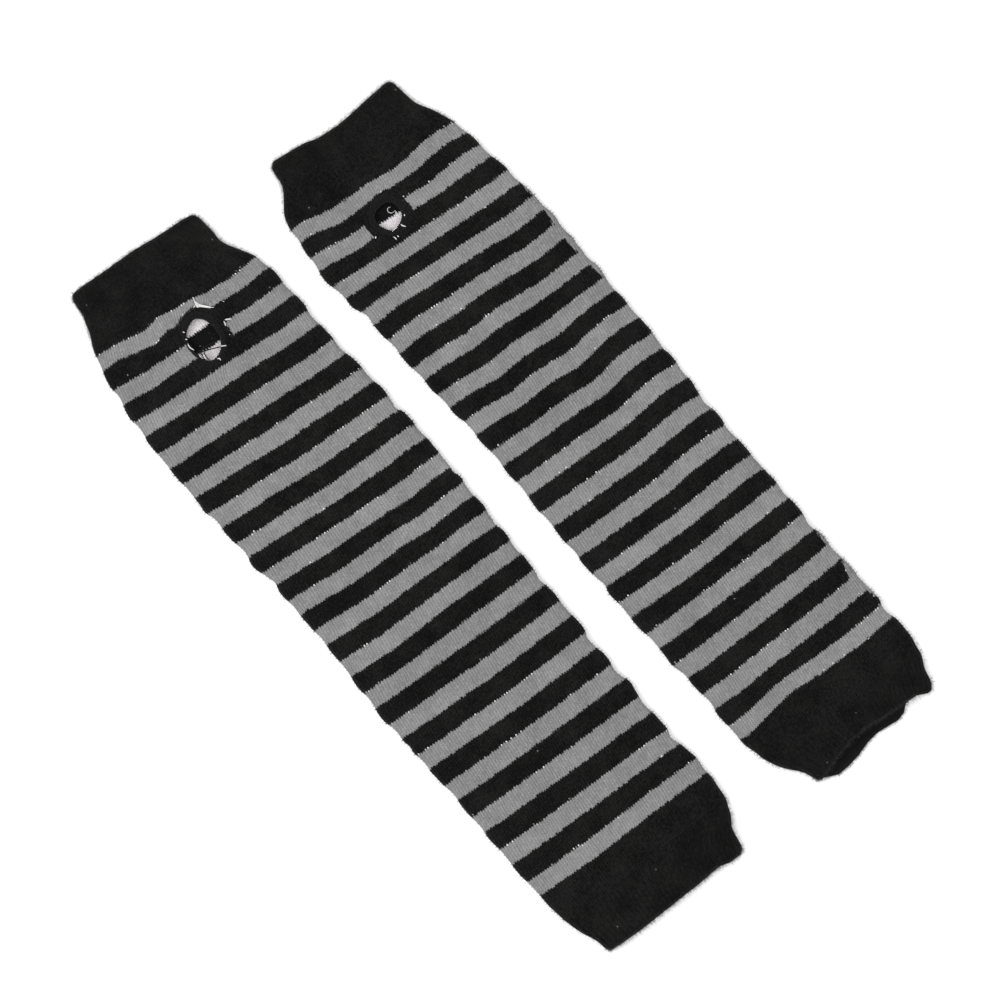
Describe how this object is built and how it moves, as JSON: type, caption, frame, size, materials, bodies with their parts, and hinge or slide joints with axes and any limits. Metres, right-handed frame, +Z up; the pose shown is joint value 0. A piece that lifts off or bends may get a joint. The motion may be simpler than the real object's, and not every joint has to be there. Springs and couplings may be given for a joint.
{
  "type": "pair of knitted arm warmers",
  "caption": "Striped knitted arm warmers: flat-lying tubes with plain cuffs and a bound thumb hole near the hand end.",
  "frame": {"origin": "on the resting surface, under the middle of the pair's bounding box", "axes": "+Y towards the hand ends, along the warmers; +X from the left warmer to the right one; +Z up from the surface they lie on"},
  "size_m": [0.184, 0.3477, 0.0064],
  "materials": {
    "striped_knit": "matte plated jersey in grey and black stripes, pale on the inside",
    "black_knit": "matte black knit, slightly fuzzy",
    "binding_yarn": "matte black overcast yarn"
  },
  "bodies": {
    "root": {"left_hand_cuff": "black_knit", "left_body": "striped_knit", "left_arm_cuff": "black_knit", "left_thumb_binding": "binding_yarn", "right_hand_cuff": "black_knit", "right_body": "striped_knit", "right_arm_cuff": "black_knit", "right_thumb_binding": "binding_yarn"}
  },
  "joints": []
}
